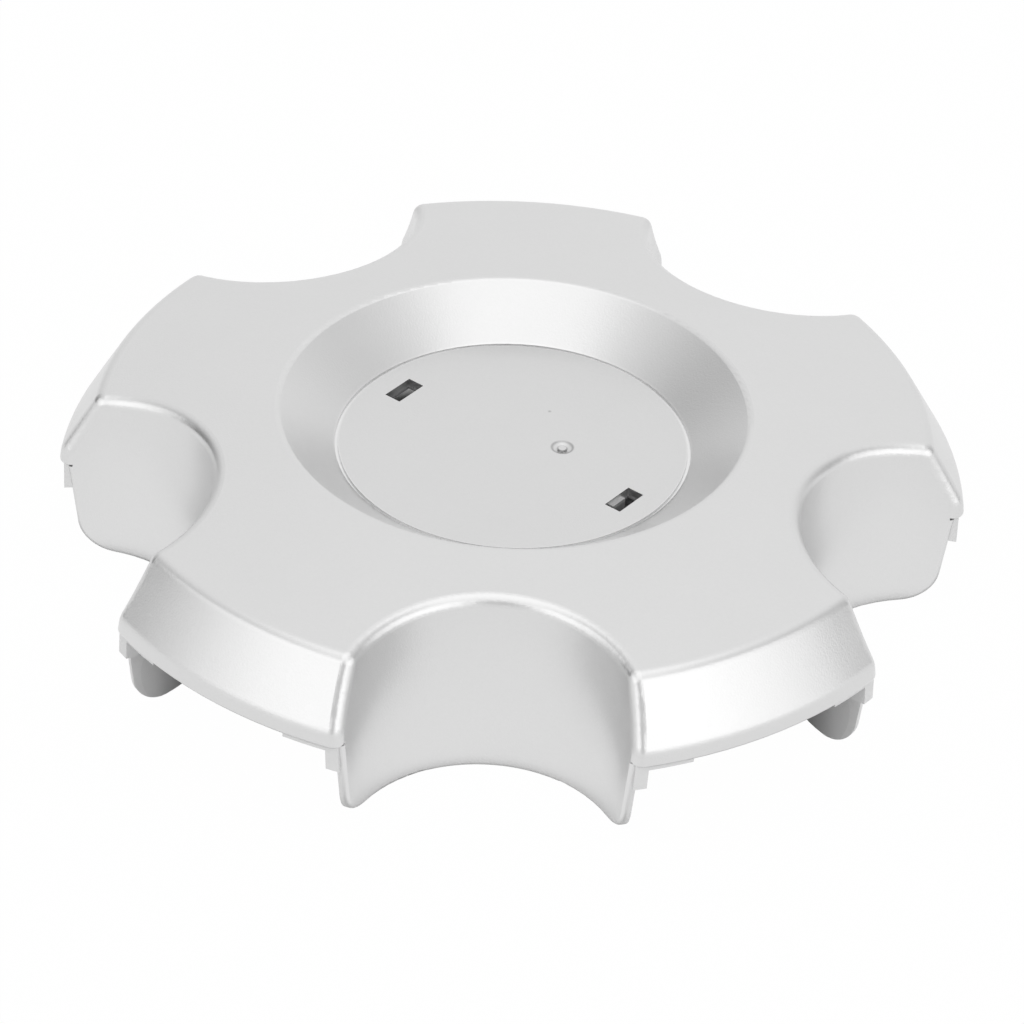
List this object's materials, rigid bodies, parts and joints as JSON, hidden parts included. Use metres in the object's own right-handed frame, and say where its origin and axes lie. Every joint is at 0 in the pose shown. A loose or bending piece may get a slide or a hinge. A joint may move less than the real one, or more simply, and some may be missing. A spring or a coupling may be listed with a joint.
{
  "type": "wheel center cap",
  "caption": "Star shaped wheel center cap with rounded lobes, wheel nut notches between them and a round badge seat sunk in the middle.",
  "frame": {"origin": "on the wheel axis, level with the feet of the notch walls", "axes": "+Z out of the wheel along its axis, -Y through the middle of one nut notch"},
  "size_m": [0.1524, 0.1482, 0.0339],
  "materials": {
    "cap_shell": "satin silver paint with fine metal flake on the outside, bare grey plastic inside"
  },
  "bodies": {
    "root": {"center_cap": "cap_shell"}
  },
  "joints": []
}
